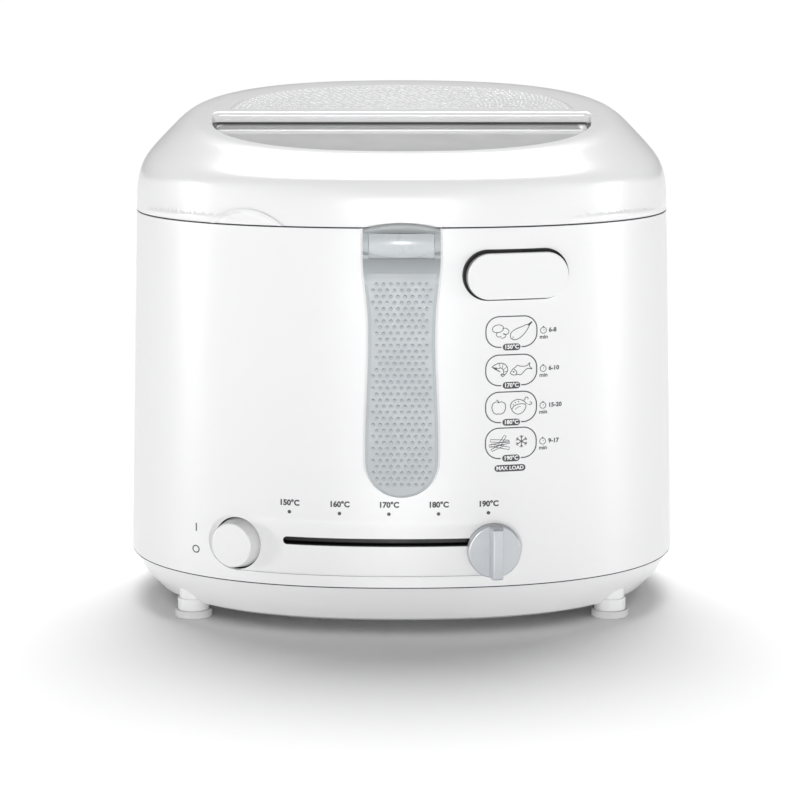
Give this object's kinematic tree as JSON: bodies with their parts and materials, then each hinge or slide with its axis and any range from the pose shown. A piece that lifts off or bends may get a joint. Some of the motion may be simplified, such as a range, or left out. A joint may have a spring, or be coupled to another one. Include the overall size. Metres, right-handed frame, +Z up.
{
  "type": "deep fryer",
  "caption": "Electric deep fryer with a rear-hinged windowed lid and a front handle that folds up to lift the basket; slider sets the temperature.",
  "frame": {"origin": "on the table under the middle of the fryer's outline", "axes": "+Z up, the front with the handle and controls towards -Y, +X to the right seen from the front"},
  "size_m": [0.3007, 0.2736, 0.2789],
  "materials": {
    "white_gloss": "glossy white",
    "grey_plastic": "satin blue-grey",
    "light_grey_plastic": "satin light grey",
    "silver_plastic": "satin silver grey",
    "black_plastic": "matt black",
    "rubber_feet": "matt light grey",
    "steel": "bright zinc",
    "zinc_sheet": "satin sheet",
    "aluminium_plate": "cast, satin",
    "copper": "drawn tube",
    "bowl_coating": "dark non-stick coating",
    "steel_wire": "bright plated wire",
    "clear_pane": "clear, slightly smoked",
    "dark_seal": "matt dark grey",
    "silicone": "matt silicone",
    "filter_mesh": "woven metal mesh"
  },
  "bodies": {
    "root": {"body_shell": "white_gloss", "base_pan": "white_gloss", "foot_pads": "rubber_feet", "base_screws": "steel", "top_collar": "white_gloss", "oil_bowl": "bowl_coating", "collar_screws": "steel", "element_plate": "aluminium_plate", "heating_element": "steel", "heat_shield": "zinc_sheet", "shield_posts": "zinc_sheet", "thermostat_body": "black_plastic", "thermostat_sensor": "copper", "thermal_fuse": "steel", "slider_track": "black_plastic", "switch_body": "black_plastic", "switch_bracket": "white_gloss", "power_button_spring": "steel", "release_spring": "steel", "handle_pin": "steel", "rocker_pin": "steel", "handle_bracket": "zinc_sheet", "hinge_bracket": "white_gloss", "hinge_pin": "steel", "lid_springs": "steel", "cord_gland": "rubber_feet", "terminal_block": "white_gloss"},
    "lid": {"lid_shell": "white_gloss", "window_pane": "clear_pane", "window_seal": "dark_seal", "vent_panel": "white_gloss", "inner_lid": "zinc_sheet", "lid_gasket": "silicone", "lid_screws": "steel", "filter_tray": "white_gloss", "grease_filter": "filter_mesh", "lid_hook": "steel", "lid_hinge_arms": "white_gloss"},
    "basket_handle": {"basket_handle": "grey_plastic"},
    "handle_button": {"handle_button": "light_grey_plastic"},
    "lift_rocker": {"lift_rocker": "light_grey_plastic"},
    "basket": {"basket_mesh": "steel_wire", "basket_frame": "steel_wire", "basket_bracket": "steel"},
    "temperature_slider": {"slider_carriage": "black_plastic", "temperature_knob": "silver_plastic"},
    "thermostat_lever": {"thermostat_lever": "black_plastic"},
    "power_button": {"power_button": "white_gloss"},
    "lid_release_button": {"lid_release_button": "white_gloss"}
  },
  "joints": [
    {"name": "lid_hinge", "type": "hinge", "parent": "root", "child": "lid", "pos_m": [0, 0.127, 0.211], "axis": [-1, 0, 0], "range_deg": [0, 85]},
    {"name": "handle_fold", "type": "hinge", "parent": "root", "child": "basket_handle", "pos_m": [0, -0.1275, 0.208], "axis": [-1, 0, 0], "range_deg": [0, 90]},
    {"name": "unlock_press", "type": "slide", "parent": "basket_handle", "child": "handle_button", "axis": [0, 1, 0], "range_m": [0, 0.0015], "stiffness_N_per_m": 600},
    {"name": "rocker_turn", "type": "hinge", "parent": "root", "child": "lift_rocker", "pos_m": [0, -0.11129, 0.19864], "axis": [1, 0, 0], "range_deg": [0, 72]},
    {"name": "basket_lift", "type": "slide", "parent": "root", "child": "basket", "axis": [0, 0, 1], "range_m": [0, 0.03997]},
    {"name": "temperature_slide", "type": "hinge", "parent": "root", "child": "temperature_slider", "pos_m": [0, 0.143, 0], "axis": [0, 0, 1], "range_deg": [-22.6, 0]},
    {"name": "lever_turn", "type": "hinge", "parent": "root", "child": "thermostat_lever", "pos_m": [0, 0.02, 0.04], "axis": [0, 0, 1], "range_deg": [-43.38, 0.01]},
    {"name": "power_press", "type": "slide", "parent": "root", "child": "power_button", "axis": [0.4398, 0.8981, 0], "range_m": [0, 0.003], "stiffness_N_per_m": 600},
    {"name": "release_press", "type": "slide", "parent": "root", "child": "lid_release_button", "axis": [-0.2615, 0.9652, 0], "range_m": [0, 0.0035], "stiffness_N_per_m": 700}
  ],
  "couplings": [
    {"joint": "rocker_turn", "follows": "handle_fold", "ratio": 0.8},
    {"joint": "basket_lift", "follows": "handle_fold", "m_per_rad": 0.025445},
    {"joint": "lever_turn", "follows": "temperature_slide", "ratio": 1.919}
  ]
}
